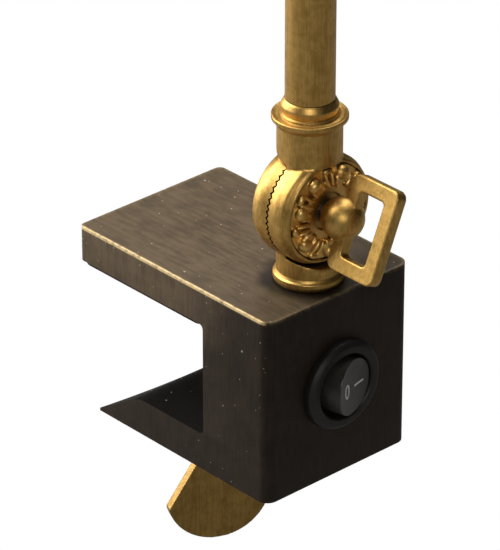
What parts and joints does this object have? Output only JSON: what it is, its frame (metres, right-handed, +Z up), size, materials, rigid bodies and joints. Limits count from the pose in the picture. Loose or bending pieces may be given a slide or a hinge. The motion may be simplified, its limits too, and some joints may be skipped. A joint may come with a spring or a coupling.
{
  "type": "clip-on reading lamp",
  "caption": "Clip-on reading lamp: C-clamp base with rocker switch, jointed brass stem with loop keys, and a crook arm with a bell shade.",
  "frame": {"origin": "on the upper jaw pad's underside, where it lies on the desk top, 22.6 mm from the mouth's inner wall", "axes": "+Z up along the stem, +X out from the desk edge towards the switch, +Y along the desk edge"},
  "size_m": [0.1932, 0.11, 0.4505],
  "materials": {
    "bronzed_clamp": "dark bronze, hand-brushed and speckled",
    "bronzed_shade": "dark bronze outside, warm white inside",
    "antique_brass": "antique, brushed, dark in the hollows",
    "plain_brass": "plain",
    "zinc_steel": "zinc plated",
    "black_plastic": "fine matte",
    "black_rubber": "matte",
    "holder_porcelain": "glazed",
    "bulb_glass": "frosted",
    "lead_sleeve": "smooth"
  },
  "bodies": {
    "clamp": {"clamp_body": "bronzed_clamp", "upper_jaw_pad": "black_rubber", "bottom_cover": "bronzed_clamp", "cover_screw_left": "zinc_steel", "cover_screw_right": "zinc_steel", "cord_bushing": "black_rubber", "stem_nipple": "plain_brass", "nipple_washer": "zinc_steel", "nipple_nut": "zinc_steel", "switch_housing": "black_plastic", "terminal_supply": "plain_brass", "terminal_lamp": "plain_brass", "supply_lead": "lead_sleeve", "neutral_lead": "lead_sleeve", "lamp_lead": "lead_sleeve", "stem_foot": "antique_brass"},
    "stem": {"stem_knuckle": "antique_brass", "lower_rosette": "antique_brass", "stem_tube": "antique_brass", "stem_lead": "lead_sleeve", "stem_head": "antique_brass"},
    "arm": {"arm_knuckle": "antique_brass", "upper_rosette": "antique_brass", "crook_arm": "antique_brass", "arm_lead": "lead_sleeve", "shade_cap": "antique_brass", "shade": "bronzed_shade", "shade_ring": "black_plastic", "lampholder_shell": "plain_brass", "lampholder_base": "holder_porcelain", "screw_shell": "plain_brass", "centre_contact": "plain_brass", "bulb_base": "zinc_steel", "bulb_globe": "bulb_glass"},
    "lower_key": {"lower_key_loop": "antique_brass", "lower_key_shank": "zinc_steel"},
    "upper_key": {"upper_key_loop": "antique_brass", "upper_key_shank": "zinc_steel"},
    "rocker": {"switch_rocker": "black_plastic"},
    "foot": {"pressure_foot": "antique_brass", "foot_pad": "black_rubber"},
    "thumbscrew": {"thumbscrew_shank": "antique_brass", "thumbscrew_paddle": "antique_brass"}
  },
  "joints": [
    {"name": "lower_tilt", "type": "hinge", "parent": "clamp", "child": "stem", "pos_m": [0.035, 0, 0.03165], "axis": [1, 0, 0], "range_deg": [-90, 90]},
    {"name": "lower_key_turn", "type": "hinge", "parent": "clamp", "child": "lower_key", "pos_m": [0.035, 0, 0.03165], "axis": [1, 0, 0], "range_deg": [0, 360]},
    {"name": "upper_tilt", "type": "hinge", "parent": "stem", "child": "arm", "pos_m": [0.035, 0, 0.26925], "axis": [0, 1, 0], "range_deg": [-25.71, 90]},
    {"name": "upper_key_turn", "type": "hinge", "parent": "stem", "child": "upper_key", "pos_m": [0.035, 0, 0.26925], "axis": [0, -1, 0], "range_deg": [0, 360]},
    {"name": "switch_rock", "type": "hinge", "parent": "clamp", "child": "rocker", "pos_m": [0.0466, 0, -0.0145], "axis": [0, 0, -1], "range_deg": [0, 34]},
    {"name": "foot_slide", "type": "slide", "parent": "clamp", "child": "foot", "axis": [0, 0, 1], "range_m": [0, 0.01]},
    {"name": "thumbscrew_turn", "type": "hinge", "parent": "foot", "child": "thumbscrew", "pos_m": [0.0012, 0, -0.06], "axis": [0, 0, 1], "range_deg": [0, 3600]}
  ],
  "couplings": [
    {"joint": "thumbscrew_turn", "follows": "foot_slide", "rad_per_m": 6283.2}
  ]
}
